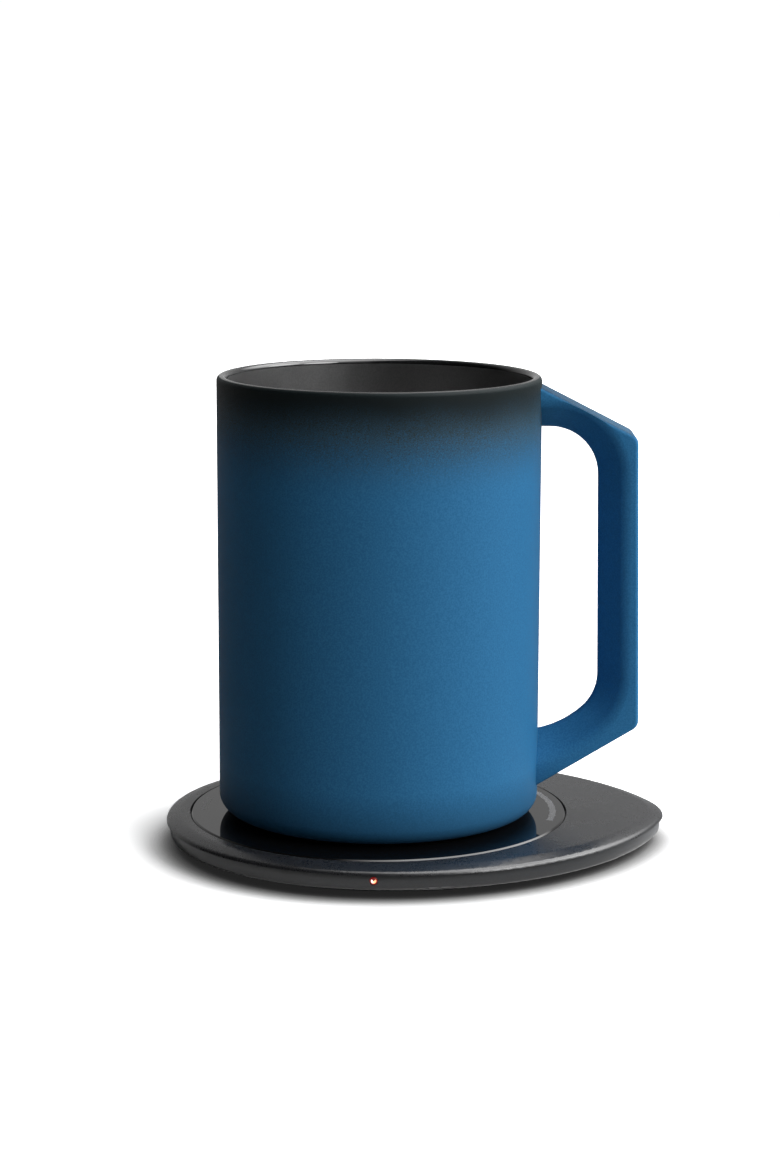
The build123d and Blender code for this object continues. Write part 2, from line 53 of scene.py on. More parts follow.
def addNode(tree, kind, inputs=None, **settings):
    # one node, with its settings, and each input given as a value or as the socket that feeds it
    node = tree.nodes.new(kind)
    for key, value in settings.items():
        setattr(node, key, value)
    for key, value in (inputs or {}).items():
        if isinstance(value, bpy.types.NodeSocket):
            tree.links.new(value, node.inputs[key])
        else:
            node.inputs[key].default_value = value
    return node


def mathNode(tree, operation, *values):
    # output socket of a math step
    return addNode(tree, "ShaderNodeMath", dict(enumerate(values)), operation=operation).outputs[0]


def mapRange(tree, value, fromMin, fromMax, toMin, toMax, smooth=False):
    node = addNode(tree, "ShaderNodeMapRange", {
        "Value": value,
        "From Min": fromMin, "From Max": fromMax,
        "To Min": toMin, "To Max": toMax,
    })
    node.interpolation_type = "SMOOTHSTEP" if smooth else "LINEAR"
    return node.outputs["Result"]


def mixColour(tree, factor, first, second):
    node = addNode(tree, "ShaderNodeMix", data_type="RGBA")
    for socket, value in ((node.inputs[0], factor), (node.inputs[6], first), (node.inputs[7], second)):
        if isinstance(value, bpy.types.NodeSocket):
            tree.links.new(value, socket)
        elif isinstance(value, tuple):
            socket.default_value = (*value, 1)
        else:
            socket.default_value = value
    return node.outputs[2]


def startMaterial(name):
    # an empty Principled material, with the object's own coordinates
    first, *others = name.split("_")
    material = bpy.data.materials.new(first + "".join(word.title() for word in others))
    material.use_nodes = True
    tree = material.node_tree
    shader = tree.nodes["Principled BSDF"]
    coordinates = tree.nodes.new("ShaderNodeTexCoord").outputs["Object"]
    return material, tree, shader, coordinates


def noise(tree, vector, scale, detail=2.0, roughness=0.5):
    node = addNode(tree, "ShaderNodeTexNoise", {
        "Vector": vector, "Scale": scale, "Detail": detail, "Roughness": roughness,
    })
    return node.outputs["Fac"]


grainDepth = 0.02 * mm    # how far a fine grain stands up
noiseReach = (0.3, 0.7)   # nearly all of a noise's values lie between these


def addBump(tree, shader, height, strength, depth=grainDepth):
    bump = addNode(tree, "ShaderNodeBump", {"Height": height, "Strength": strength, "Distance": depth})
    tree.links.new(bump.outputs["Normal"], shader.inputs["Normal"])


def roughen(tree, shader, pattern, look):
    # roughness from the look's low to its high value, as the pattern goes from dark to light
    rough = mapRange(tree, pattern, *noiseReach, look["roughLow"], look["roughHigh"])
    tree.links.new(rough, shader.inputs["Roughness"])


# Moulded, cast and coated surfaces: two close colours in a fine grain, with roughness and bump from it

grainLook = {
    "detail": 3, "edges": (0.38, 0.62),           # the two colours meet between these values of the grain
    "patchDetail": 2, "patchScaleShare": 0.06,    # wide patches, at this share of the grain's scale
    "share": 0.6,                                 # how much of the roughness is grain and not patches
}


def mouldedFinish(name, look):
    material, tree, shader, coordinates = startMaterial(name)
    stretch = look.get("stretch", (1, 1, 1))
    vector = addNode(tree, "ShaderNodeMapping", {"Vector": coordinates, "Scale": stretch}).outputs[0]
    grain = noise(tree, vector, look["grainScale"], grainLook["detail"])
    patches = noise(tree, vector, look["grainScale"] * grainLook["patchScaleShare"], grainLook["patchDetail"])
    sharp = mapRange(tree, grain, *grainLook["edges"], 0, 1)
    tree.links.new(mixColour(tree, sharp, look["dark"], look["light"]), shader.inputs["Base Color"])
    grainPart = mathNode(tree, "MULTIPLY", grain, grainLook["share"])
    patchPart = mathNode(tree, "MULTIPLY", patches, 1 - grainLook["share"])
    roughen(tree, shader, mathNode(tree, "ADD", grainPart, patchPart), look)
    shader.inputs["Metallic"].default_value = look.get("metallic", 0)
    shader.inputs["IOR"].default_value = look.get("ior", 1.5)
    shader.inputs["Coat Weight"].default_value = look.get("coat", 0)
    shader.inputs["Coat Roughness"].default_value = look.get("coatRough", 0.3)
    shader.inputs["Coat IOR"].default_value = look.get("coatIor", 1.5)
    addBump(tree, shader, grain, look["bump"])
    return material


# Glaze of the mug's outside: blue, sprayed black from the rim down

glazeLook = {
    "blue": (0.031, 0.160, 0.332),
    "blueDark": (0.023, 0.129, 0.275),
    "blueEdges": (0.40, 0.62),
    "rimBlack": (0.0085, 0.0125, 0.0135),
    "sprayGrey": (0.0330, 0.0360, 0.0180),
    "greyDrop": (2.5 * mm, 13.0 * mm),     # depth under the rim where the black turns grey
    "fadeDrop": (1.5 * mm, 26.0 * mm),     # and where it gives way to the blue
    "cloudDepth": 1.6 * mm,                # how far a soft cloud pushes these depths up and down
    "cloudScaleShare": 0.02,
    # painted shade near the foot: the blue darkens where the plate under the mug gives it little light
    "footBlue": (0.0080, 0.0400, 0.0830),
    "footRise": (-2.0 * mm, 13.0 * mm),    # height over the foot where the painted shade gives way to the blue
    "dropletScale": 5200,
    "dropletRoughness": 0.6,
    "dropletEdges": (0.36, 0.64),
    "dropletContrast": 0.34,
    "grainScale": 2600,
    "roughLow": 0.46,
    "roughHigh": 0.60,
    "ior": 1.17,
    "bump": 0.10,
}

# painted light: the handle's blue is paler than the body's, and as painted shade what faces up darkens
handlePaintedLightLook = {
    **glazeLook,
    "blue": (0.040, 0.205, 0.425),
    "blueDark": (0.030, 0.167, 0.355),
    "topSpray": 0.86,
    "topSprayReach": 44.0 * mm,
    "topEdges": (0.35, 0.85),
}


def glazeFinish(name, look, footHeight, rimHeight, onlyTops=False):
    material, tree, shader, coordinates = startMaterial(name)
    grain = noise(tree, coordinates, look["grainScale"], grainLook["detail"])
    cloud = noise(tree, coordinates, look["grainScale"] * look["cloudScaleShare"], grainLook["patchDetail"])
    blue = mixColour(tree, mapRange(tree, grain, *look["blueEdges"], 0, 1), look["blueDark"], look["blue"])
    level = addNode(tree, "ShaderNodeSeparateXYZ", {0: coordinates}).outputs[2]
    # depth under the rim, pushed up and down by a soft cloud
    push = mathNode(tree, "MULTIPLY_ADD", cloud, 2 * look["cloudDepth"], -look["cloudDepth"])
    drop = mathNode(tree, "ADD", mathNode(tree, "SUBTRACT", rimHeight, level), push)
    greyShare = mapRange(tree, drop, *look["greyDrop"], 0, 1, smooth=True)
    spray = mixColour(tree, greyShare, look["rimBlack"], look["sprayGrey"])
    # painted shade: on the handle what faces up darkens towards the spray's colours, most near the rim
    if onlyTops:
        normal = tree.nodes.new("ShaderNodeTexCoord").outputs["Normal"]
        upwards = addNode(tree, "ShaderNodeSeparateXYZ", {0: normal}).outputs[2]
        top = mapRange(tree, upwards, *look["topEdges"], 0, 1, smooth=True)
        shadeByDepth = mapRange(tree, drop, 0, look["topSprayReach"], look["topSpray"], 0)
        fade = mathNode(tree, "MULTIPLY", shadeByDepth, top)
    else:
        fade = mapRange(tree, drop, *look["fadeDrop"], 1, 0, smooth=True)
    # droplets show most where the black is half way to the blue, and the 4 brings that peak to 1
    dots = noise(tree, coordinates, look["dropletScale"], grainLook["detail"], look["dropletRoughness"])
    halfway = mathNode(tree, "MULTIPLY", fade, mathNode(tree, "SUBTRACT", 1.0, fade))
    halfway = mathNode(tree, "MULTIPLY", halfway, 4.0)
    speckle = mapRange(tree, dots, *look["dropletEdges"], -look["dropletContrast"], look["dropletContrast"])
    sprayAndShadeShare = mathNode(tree, "MULTIPLY_ADD", speckle, halfway, fade)
    # painted shade: the blue darkens towards the foot, next to the dark plate the mug stands on
    unshadedShare = mapRange(tree, mathNode(tree, "SUBTRACT", level, footHeight), *look["footRise"], 0, 1)
    blue = mixColour(tree, unshadedShare, look["footBlue"], blue)
    tree.links.new(mixColour(tree, sprayAndShadeShare, blue, spray), shader.inputs["Base Color"])
    roughen(tree, shader, grain, look)
    shader.inputs["IOR"].default_value = look["ior"]
    addBump(tree, shader, grain, look["bump"])
    return material


# Plate of black glass, with a faint haze

glassLook = {
    "dark": (0.0035, 0.0036, 0.0040), "light": (0.004375, 0.0045, 0.0050), "hazeScale": 60,
    "roughLow": 0.021, "roughHigh": 0.042, "ior": 1.5,
}


def glassFinish(name, look):
    material, tree, shader, coordinates = startMaterial(name)
    haze = noise(tree, coordinates, look["hazeScale"], grainLook["detail"])
    tree.links.new(mixColour(tree, haze, look["dark"], look["light"]), shader.inputs["Base Color"])
    roughen(tree, shader, haze, look)
    shader.inputs["IOR"].default_value = look["ior"]
    return material


# Status lamp: a clear lens over a lit chip, with a dark red notch from above into its middle

lampLook = {
    "x": -0.85 * mm, "z": 4.8 * mm, "radius": 0.95 * mm, "roughness": 0.25,
    "lit": (0.50, 0.78),                 # shares of the radius where the lit disc ends
    "notch": (0.62, 0.98),               # radians from straight up where the notch ends
    "notchDepth": 0.08 * mm,             # how far under the middle its tip lies
    "sides": (-0.45 * mm, 0.15 * mm),    # places across where the left colour turns to the right one
    "left": (1.0, 0.70, 0.66), "right": (1.0, 0.36, 0.16), "strength": 1.9,
    "rimEdges": (0.45, 0.80),            # shares of the radius where the shade turns to the rim's red
    "shade": (0.16, 0.004, 0.002), "rim": (0.30, 0.012, 0.010), "shadeStrength": 0.35,
}


def lampFinish(name, look):
    material, tree, shader, coordinates = startMaterial(name)
    toMiddle = (-look["x"], 0, -look["z"])
    centred = addNode(tree, "ShaderNodeMapping", {"Vector": coordinates, "Location": toMiddle})
    split = addNode(tree, "ShaderNodeSeparateXYZ", {0: centred.outputs[0]})
    across, up = split.outputs[0], split.outputs[2]
    squares = mathNode(tree, "ADD", mathNode(tree, "POWER", across, 2), mathNode(tree, "POWER", up, 2))
    reach = mathNode(tree, "DIVIDE", mathNode(tree, "SQRT", squares), look["radius"])
    disc = mapRange(tree, reach, *look["lit"], 1, 0, smooth=True)
    overTip = mathNode(tree, "ADD", up, look["notchDepth"])
    turn = mathNode(tree, "ABSOLUTE", mathNode(tree, "ARCTAN2", across, overTip))
    besideNotch = mapRange(tree, turn, *look["notch"], 0, 1, smooth=True)
    heat = mathNode(tree, "MULTIPLY", disc, besideNotch)
    side = mapRange(tree, across, *look["sides"], 0, 1, smooth=True)
    glow = mixColour(tree, side, look["left"], look["right"])
    edge = mixColour(tree, mapRange(tree, reach, *look["rimEdges"], 0, 1), look["shade"], look["rim"])
    colour = mixColour(tree, heat, edge, glow)
    tree.links.new(colour, shader.inputs["Base Color"])
    tree.links.new(colour, shader.inputs["Emission Color"])
    power = mapRange(tree, heat, 0, 1, look["shadeStrength"], look["strength"])
    tree.links.new(power, shader.inputs["Emission Strength"])
    shader.inputs["Roughness"].default_value = look["roughness"]
    return material


# Litz wire: copper with its strands as fine bands along the turns, rough between them

litzLook = {
    "dark": (0.30, 0.095, 0.035), "light": (0.78, 0.33, 0.15),
    "bands": 2600, "distortion": 1.5, "detail": 2.0,
    "roughDark": 0.494, "roughLight": 0.38, "bump": 0.4, "bumpDepth": 0.05 * mm,
}


def litzFinish(name, look):
    material, tree, shader, coordinates = startMaterial(name)
    strands = addNode(tree, "ShaderNodeTexWave", {
        "Vector": coordinates, "Scale": look["bands"],
        "Distortion": look["distortion"], "Detail": look["detail"],
    }, wave_type="RINGS", rings_direction="Z")
    shade = strands.outputs["Fac"]
    tree.links.new(mixColour(tree, shade, look["dark"], look["light"]), shader.inputs["Base Color"])
    shader.inputs["Metallic"].default_value = 1
    rough = mapRange(tree, shade, 0, 1, look["roughDark"], look["roughLight"])
    tree.links.new(rough, shader.inputs["Roughness"])
    addBump(tree, shader, shade, look["bump"], look["bumpDepth"])
    return material


# Laminate of the main board: green mask over straight copper tracks

boardLook = {
    "mask": (0.012, 0.085, 0.040), "track": (0.030, 0.160, 0.075),
    "pitch": 260, "trackWidth": 0.12, "trackEdge": 0.2,
    "weaveScale": 900, "roughLow": 0.357, "roughHigh": 0.483, "bump": 0.3,
}


def boardFinish(name, look):
    material, tree, shader, coordinates = startMaterial(name)
    tracks = addNode(tree, "ShaderNodeTexBrick", {
        "Vector": coordinates, "Scale": look["pitch"],
        "Mortar Size": look["trackWidth"], "Mortar Smooth": look["trackEdge"],
        "Color1": (0, 0, 0, 1), "Color2": (0, 0, 0, 1), "Mortar": (1, 1, 1, 1),
    })
    share = tracks.outputs["Color"]
    tree.links.new(mixColour(tree, share, look["mask"], look["track"]), shader.inputs["Base Color"])
    roughen(tree, shader, noise(tree, coordinates, look["weaveScale"], grainLook["detail"]), look)
    addBump(tree, shader, share, look["bump"])
    return material


# Finish of each kind of surface, by the material slot in the record. The last four are the bowl, its floor
# and the lip of the mug, and the print on the glass.

finishLooks = {
    "cover_plastic": {
        "dark": (0.0130, 0.0134, 0.0150), "light": (0.0190, 0.0196, 0.0214), "grainScale": 3200,
        "roughLow": 0.25, "roughHigh": 0.32, "bump": 0.03,
    },
    "shell_plastic": {
        "dark": (0.0095, 0.0098, 0.0106), "light": (0.0140, 0.0144, 0.0154), "grainScale": 3000,
        "roughLow": 0.28, "roughHigh": 0.36, "bump": 0.05,
    },
    "silicone_pad": {
        "dark": (0.018, 0.018, 0.019), "light": (0.030, 0.030, 0.031), "grainScale": 1500,
        "roughLow": 0.70, "roughHigh": 0.85, "bump": 0.25,
    },
    "silicone_ring": {
        "dark": (0.022, 0.022, 0.023), "light": (0.034, 0.034, 0.035), "grainScale": 1800,
        "roughLow": 0.60, "roughHigh": 0.75, "bump": 0.20,
    },
    "foot_cover_plastic": {
        "dark": (0.016, 0.017, 0.018), "light": (0.026, 0.027, 0.028), "grainScale": 2200,
        "roughLow": 0.45, "roughHigh": 0.58, "bump": 0.18,
    },
    "adhesive_foam": {
        "dark": (0.030, 0.030, 0.030), "light": (0.055, 0.055, 0.055), "grainScale": 1200,
        "roughLow": 0.80, "roughHigh": 0.92, "bump": 0.40,
    },
    "screw_steel": {
        "dark": (0.50, 0.50, 0.49), "light": (0.66, 0.66, 0.65), "grainScale": 900, "stretch": (1, 12, 1),
        "roughLow": 0.24, "roughHigh": 0.38, "bump": 0.15, "metallic": 1,
    },
    "chip_resin": {
        "dark": (0.014, 0.014, 0.015), "light": (0.024, 0.024, 0.025), "grainScale": 2600,
        "roughLow": 0.48, "roughHigh": 0.60, "bump": 0.20,
    },
    "capacitor_film": {
        "dark": (0.42, 0.030, 0.018), "light": (0.52, 0.045, 0.026), "grainScale": 800,
        "roughLow": 0.28, "roughHigh": 0.40, "bump": 0.10,
    },
    "inductor_ferrite": {
        "dark": (0.035, 0.034, 0.034), "light": (0.060, 0.058, 0.058), "grainScale": 1900,
        "roughLow": 0.55, "roughHigh": 0.70, "bump": 0.30,
    },
    "ferrite": {
        "dark": (0.030, 0.030, 0.031), "light": (0.052, 0.051, 0.052), "grainScale": 1700,
        "roughLow": 0.60, "roughHigh": 0.75, "bump": 0.30,
    },
    "tinned_brass": {
        "dark": (0.62, 0.53, 0.36), "light": (0.78, 0.70, 0.52), "grainScale": 1100, "stretch": (8, 1, 1),
        "roughLow": 0.22, "roughHigh": 0.34, "bump": 0.12, "metallic": 1,
    },
    "tray_nylon": {
        "dark": (0.040, 0.040, 0.042), "light": (0.058, 0.058, 0.060), "grainScale": 1300,
        "roughLow": 0.50, "roughHigh": 0.64, "bump": 0.20,
    },
    "shield_aluminium": {
        "dark": (0.72, 0.73, 0.74), "light": (0.84, 0.85, 0.86), "grainScale": 700, "stretch": (1, 20, 1),
        "roughLow": 0.26, "roughHigh": 0.42, "bump": 0.15, "metallic": 1,
    },
    "sensor_epoxy": {
        "dark": (0.010, 0.040, 0.110), "light": (0.016, 0.058, 0.150), "grainScale": 900,
        "roughLow": 0.20, "roughHigh": 0.32, "bump": 0.10,
    },
    "thermal_silicone": {
        "dark": (0.30, 0.32, 0.34), "light": (0.38, 0.40, 0.42), "grainScale": 1000,
        "roughLow": 0.66, "roughHigh": 0.80, "bump": 0.20,
    },
    "socket_steel": {
        "dark": (0.56, 0.56, 0.55), "light": (0.70, 0.70, 0.69), "grainScale": 800, "stretch": (1, 10, 1),
        "roughLow": 0.20, "roughHigh": 0.32, "bump": 0.12, "metallic": 1,
    },
    "socket_plastic": {
        "dark": (0.013, 0.013, 0.014), "light": (0.021, 0.021, 0.022), "grainScale": 2000,
        "roughLow": 0.40, "roughHigh": 0.52, "bump": 0.15,
    },
    "lamp_body": {
        "dark": (0.60, 0.57, 0.50), "light": (0.72, 0.69, 0.62), "grainScale": 1400,
        "roughLow": 0.35, "roughHigh": 0.48, "bump": 0.10,
    },
    "heater_steel": {
        "dark": (0.44, 0.44, 0.45), "light": (0.58, 0.58, 0.59), "grainScale": 600, "stretch": (1, 14, 1),
        "roughLow": 0.30, "roughHigh": 0.46, "bump": 0.18, "metallic": 1,
    },
    "insulation_mica": {
        "dark": (0.34, 0.27, 0.17), "light": (0.50, 0.42, 0.29), "grainScale": 420,
        "roughLow": 0.50, "roughHigh": 0.72, "bump": 0.25,
    },
    "bowl_glaze": {
        "dark": (0.0060, 0.0060, 0.0062), "light": (0.0200, 0.0200, 0.0205), "grainScale": 2600,
        "roughLow": 0.36, "roughHigh": 0.46, "bump": 0.14,
        "ior": 1.8, "coat": 1.0, "coatRough": 0.22, "coatIor": 1.8,
    },
    "bowl_floor_glaze": {
        "dark": (0.0060, 0.0060, 0.0062), "light": (0.0120, 0.0120, 0.0124), "grainScale": 2600,
        "roughLow": 0.42, "roughHigh": 0.52, "bump": 0.14, "ior": 1.2,
    },
    "lip_glaze": {
        "dark": (0.0060, 0.0065, 0.0068), "light": (0.0110, 0.0118, 0.0122), "grainScale": 2600,
        "roughLow": 0.40, "roughHigh": 0.50, "bump": 0.05, "ior": 1.1, "coat": 1.0, "coatRough": 0.08,
    },
    "printed_ink": {
        "dark": (0.62, 0.62, 0.63), "light": (0.76, 0.76, 0.77), "grainScale": 3500,
        "roughLow": 0.55, "roughHigh": 0.65, "bump": 0.05, "coat": 1.0, "coatRough": 0.05,
    },
}

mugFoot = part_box("mug_shell")[0].z
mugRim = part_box("mug_shell")[1].z

finishes = {name: mouldedFinish(name, look) for name, look in finishLooks.items()}
finishes["mug_glaze"] = glazeFinish("mug_glaze", glazeLook, mugFoot, mugRim)
finishes["handle_glaze"] = glazeFinish("handle_glaze", handlePaintedLightLook, mugFoot, mugRim, onlyTops=True)
finishes["black_glass"] = glassFinish("black_glass", glassLook)
finishes["lamp_lens"] = lampFinish("lamp_lens", lampLook)
finishes["copper_litz"] = litzFinish("copper_litz", litzLook)
finishes["board_laminate"] = boardFinish("board_laminate", boardLook)
print("finishes made:", len(finishes))


# CAD nodes keep their shape and take the finish of their slot

nodeSlots = {
    "glass_gasket": "adhesive_foam", "case_screws": "screw_steel", "main_board": "board_laminate",
    "control_chip": "chip_resin", "power_transistors": "chip_resin", "resonance_capacitors": "capacitor_film",
    "power_inductor": "inductor_ferrite", "coil_wire": "copper_litz", "coil_terminals": "tinned_brass",
    "coil_tray": "tray_nylon", "ferrite_bars": "ferrite", "shield_plate": "shield_aluminium",
    "thermal_sensor": "sensor_epoxy", "sensor_pad": "thermal_silicone", "usb_socket_tongue": "socket_plastic",
    "status_led": "lamp_body", "heating_disc": "heater_steel", "insulation_disc": "insulation_mica",
}
for nodeName, slotName in nodeSlots.items():
    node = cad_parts[nodeName]
    if not node.material_slots:
        node.data.materials.append(finishes[slotName])
    node.material_slots[0].material = finishes[slotName]
print("inner nodes finished:", len(nodeSlots))


def settle(piece, bodyName, slotName, *nodeNames):
    # a finished piece rides on its body and stands for its CAD nodes
    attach(piece, bodyName)
    if nodeNames:
        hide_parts(*nodeNames)


def newPiece(name, data):
    piece = bpy.data.objects.new(name, data)
    scene.collection.objects.link(piece)
    return piece


def makePlain(piece):
    # the evaluated piece as a plain mesh, with nothing live left on it
    bpy.context.view_layer.update()
    depsgraph = bpy.context.evaluated_depsgraph_get()
    evaluated = piece.evaluated_get(depsgraph)
    mesh = bpy.data.meshes.new_from_object(evaluated, preserve_all_data_layers=True, depsgraph=depsgraph)
    mesh.name = piece.name
    piece.modifiers.clear()
    piece.data = mesh


def faceOutwards(mesh):
    # a closed mesh with a negative volume is inside out
    shape = bmesh.new()
    shape.from_mesh(mesh)
    if shape.calc_volume(signed=True) < 0:
        bmesh.ops.reverse_faces(shape, faces=shape.faces)
    shape.to_mesh(mesh)
    shape.free()


# The shown CAD shapes as joined meshes, so that their rounds shade smoothly and their edges stay crisp

smoothLook = {"joinDistance": 0.002 * mm, "collapseDistance": 0.0005 * mm, "sharpAngle": 32}


def joinedCopy(nodeName):
    # a CAD node's loose triangles joined at their corners, with no material yet
    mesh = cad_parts[nodeName].data.copy()
    shape = bmesh.new()
    shape.from_mesh(mesh)
    bmesh.ops.remove_doubles(shape, verts=shape.verts, dist=smoothLook["joinDistance"])
    shape.to_mesh(mesh)
    shape.free()
    mesh.materials.clear()
    return mesh


def smoothCopy(nodeName, pieceName, bodyName, slotName, finish=None):
    mesh = joinedCopy(nodeName)
    shape = bmesh.new()
    shape.from_mesh(mesh)
    bmesh.ops.dissolve_degenerate(shape, edges=shape.edges, dist=smoothLook["collapseDistance"])
    limit = math.radians(smoothLook["sharpAngle"])
    for face in shape.faces:
        face.smooth = True
    for edge in shape.edges:
        edge.smooth = len(edge.link_faces) == 2 and edge.calc_face_angle(0) < limit
    shape.to_mesh(mesh)
    shape.free()
    mesh.materials.append(finish or finishes[slotName])
    piece = newPiece(pieceName, mesh)
    weight = piece.modifiers.new("evenShading", "WEIGHTED_NORMAL")
    weight.keep_sharp = True
    makePlain(piece)
    settle(piece, bodyName, slotName, nodeName)


smoothCopy("top_cover", "coverSkin", "base", "cover_plastic")
smoothCopy("bottom_shell", "shellSkin", "base", "shell_plastic")
smoothCopy("glass_plate", "glassSkin", "base", "black_glass")
smoothCopy("usb_socket_shell", "socketSkin", "base", "socket_steel")
smoothCopy("led_lens", "lampLens", "base", "lamp_lens")
smoothCopy("foot_ring", "footRingSkin", "mug_foot", "silicone_ring")
smoothCopy("mug_foot_cover", "footCoverSkin", "mug", "foot_cover_plastic")
smoothCopy("mug_handle", "handleSkin", "mug", "mug_glaze", finishes["handle_glaze"])
print("joined copies made")


def startTree(name, sockets):
    # a Geometry Nodes tree with named inputs, and the group's input and output nodes
    tree = bpy.data.node_groups.new(name, "GeometryNodeTree")
    tree.interface.new_socket("Geometry", in_out="INPUT", socket_type="NodeSocketGeometry")
    for label, kind in sockets.items():
        tree.interface.new_socket(label, in_out="INPUT", socket_type="NodeSocket" + kind)
    tree.interface.new_socket("Geometry", in_out="OUTPUT", socket_type="NodeSocketGeometry")
    return tree, tree.nodes.new("NodeGroupInput"), tree.nodes.new("NodeGroupOutput")


def coat(tree, geometry, material, where=None):
    # one material on all faces, or on those that a selection picks
    inputs = {"Geometry": geometry, "Material": material}
    if where is not None:
        inputs["Selection"] = where
    return addNode(tree, "GeometryNodeSetMaterial", inputs).outputs[0]


def finishTree(tree, geometry, material, output):
    # every tree ends in real geometry with its material set
    realized = addNode(tree, "GeometryNodeRealizeInstances", {0: geometry})
    tree.links.new(coat(tree, realized.outputs[0], material), output.inputs[0])


def dropEmptySlots(mesh):
    # keeps only the materials that the tree set
    kept = [material for material in mesh.materials if material]
    numbers = [kept.index(mesh.materials[face.material_index]) for face in mesh.polygons]
    mesh.materials.clear()
    for material in kept:
        mesh.materials.append(material)
    mesh.polygons.foreach_set("material_index", numbers)


def runTree(piece, tree, look, values):
    # An input takes the value that stands under its label, or else the look's: "Rim Wall" reads rimWall.
    # It is set by the socket's identifier, and only the plain result is kept.
    modifier = piece.modifiers.new(tree.name, "NODES")
    modifier.node_group = tree
    for item in tree.interface.items_tree:
        if item.in_out == "OUTPUT" or item.name == "Geometry":
            continue
        label = item.name[0].lower() + item.name[1:].replace(" ", "")
        modifier[item.identifier] = values[item.name] if item.name in values else look[label]
    makePlain(piece)
    dropEmptySlots(piece.data)


def combine(tree, x=0.0, y=0.0, z=0.0):
    return addNode(tree, "ShaderNodeCombineXYZ", {0: x, 1: y, 2: z}).outputs[0]


def indexSwitch(tree, kind, items):
    # one value for each point, by its number
    node = addNode(tree, "GeometryNodeIndexSwitch", data_type=kind)
    while len(node.index_switch_items) < len(items):
        node.index_switch_items.new()
    tree.links.new(tree.nodes.new("GeometryNodeInputIndex").outputs[0], node.inputs["Index"])
    for number, item in enumerate(items):
        socket = node.inputs[number + 1]
        if isinstance(item, bpy.types.NodeSocket):
            tree.links.new(item, socket)
        else:
            socket.default_value = item
    return node.outputs[0]


# Body of the mug: a half section with rounded corners, turned about the axis

mugLook = {
    "radius": 40.0 * mm, "rimWall": 2.5 * mm, "rimRound": 1.2 * mm,
    "bowlRadius": 36.5 * mm, "bowlFloor": 17.6 * mm, "bowlRound": 10.0 * mm,
    "footRound": 4.2 * mm, "pocketRadius": 33.0 * mm, "pocketTop": 13.6 * mm,
    "segments": 256, "arcSteps": 10, "creaseAngle": 50,
    "core": 1.0 * mm,                # radius of the circle that the half section is led round
    "mergeDistance": 0.001 * mm,     # joins the ends of the turned section on the axis
    "lipTopShare": 0.12,             # depth of the lip's polished top, as a share of the rim's round
    "floorRoundShare": 0.5,          # height of the bowl's matt floor, as a share of the bowl's round
    "overPocket": 0.5 * mm,          # what lies higher than this over the pocket belongs to the bowl
}


